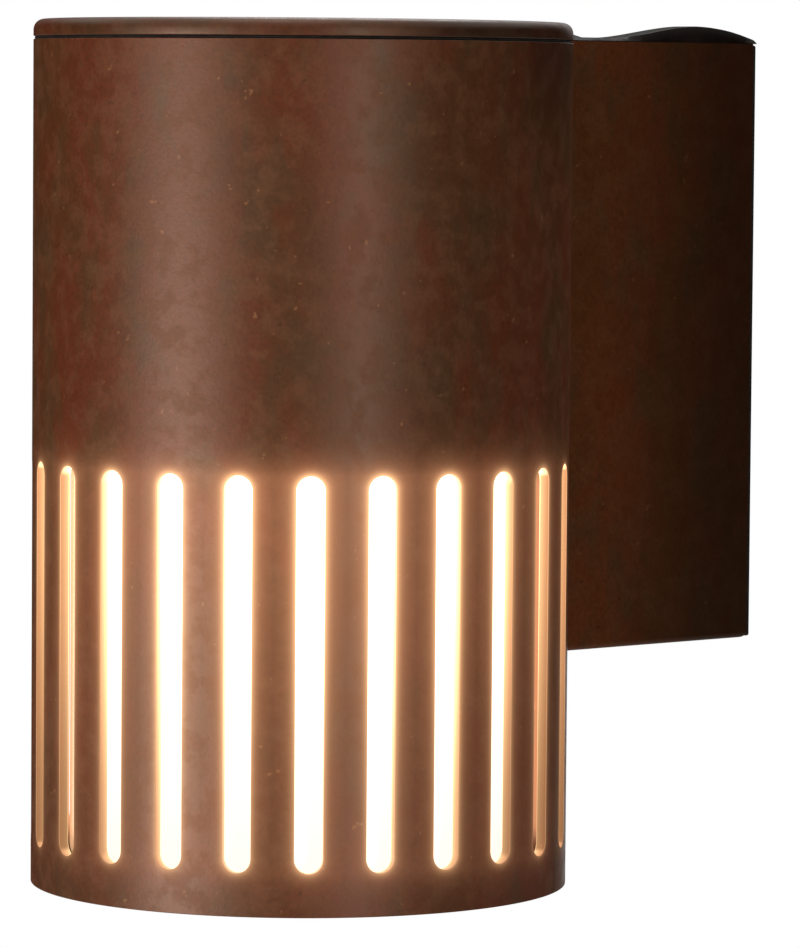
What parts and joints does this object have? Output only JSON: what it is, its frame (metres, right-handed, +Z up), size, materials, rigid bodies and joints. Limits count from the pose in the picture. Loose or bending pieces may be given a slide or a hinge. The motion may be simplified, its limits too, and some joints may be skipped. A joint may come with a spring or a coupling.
{
  "type": "outdoor wall lamp",
  "caption": "Round slotted tube lamp on a box bracket for an outside wall, with an opal diffuser cup behind the slots, a flat lid, and a screw-in bulb.",
  "frame": {"origin": "middle of the bracket's back on the wall plane, 22 mm under the cable entry", "axes": "+Z up the wall, +X to the right of someone who faces the wall, +Y into the wall; the lamp stands out along -Y"},
  "size_m": [0.11, 0.155, 0.1763],
  "materials": {
    "rust_coated_tube": "mottled rust brown powder coat",
    "rust_coated_lid": "mottled rust brown powder coat",
    "rust_coated_bracket": "dark rust brown powder coat",
    "moulded_cap": "satin black moulding",
    "seal_rubber": "matt",
    "zinc_plated_steel": "zinc plated",
    "stainless_fixings": "plain stainless",
    "spring_steel": "rolled spring strip",
    "opal_diffuser": "opal, even and smooth",
    "terminal_plastic": "natural polyamide",
    "contact_brass": "plain brass",
    "holder_plastic": "black phenolic moulding",
    "holder_ceramic": "unglazed white porcelain",
    "shell_nickel": "nickel plated",
    "bulb_insulation": "black glass",
    "bulb_body": "white moulding",
    "bulb_globe": "frosted white",
    "led_board": "white solder mask on aluminium",
    "led_phosphor": "yellow phosphor",
    "wire_brown": "brown insulation",
    "wire_blue": "blue insulation",
    "wire_green_yellow": "green and yellow insulation"
  },
  "bodies": {
    "fixture": {"slotted_tube": "rust_coated_tube", "top_lid": "rust_coated_lid", "lid_gasket": "seal_rubber", "bracket_housing": "rust_coated_bracket", "bracket_top_cap": "moulded_cap", "wall_gasket": "seal_rubber", "wall_plate": "zinc_plated_steel", "cable_grommet": "seal_rubber", "wire_grommet": "seal_rubber", "terminal_block": "terminal_plastic", "terminal_barrels": "contact_brass", "terminal_clamp_screws": "zinc_plated_steel", "terminal_block_screw": "zinc_plated_steel", "wall_earth_tag": "contact_brass", "wall_earth_screw": "contact_brass", "carrier_earth_tag": "contact_brass", "carrier_earth_screw": "contact_brass", "tube_screws": "stainless_fixings", "bracket_fixing_screws": "stainless_fixings", "carrier_plate": "zinc_plated_steel", "diffuser_clips": "spring_steel", "clip_rivets": "stainless_fixings", "lid_tie_screws": "stainless_fixings", "lampholder_bridge": "zinc_plated_steel", "bridge_screws": "stainless_fixings", "bridge_nuts": "stainless_fixings", "nipple_nut": "zinc_plated_steel", "threaded_nipple": "zinc_plated_steel", "lampholder_skirt": "holder_plastic", "lampholder_cap": "holder_plastic", "lampholder_core": "holder_ceramic", "lampholder_shell": "contact_brass", "centre_contact": "contact_brass", "lampholder_terminals": "contact_brass", "diffuser_gasket": "seal_rubber", "wire_live": "wire_brown", "wire_neutral": "wire_blue", "wire_earth": "wire_green_yellow"},
    "diffuser": {"diffuser_cup": "opal_diffuser"},
    "bulb": {"bulb_contact": "contact_brass", "bulb_insulator": "bulb_insulation", "bulb_screw_shell": "shell_nickel", "bulb_housing": "bulb_body", "bulb_globe": "bulb_globe", "led_board": "led_board", "led_chips": "led_phosphor"}
  },
  "joints": [
    {"name": "diffuser_drop", "type": "slide", "parent": "fixture", "child": "diffuser", "axis": [0, 0, -1], "range_m": [0, 0.1]},
    {"name": "bulb_screw_out", "type": "slide", "parent": "fixture", "child": "bulb", "axis": [0, 0, -1], "range_m": [0, 0.01815]}
  ]
}
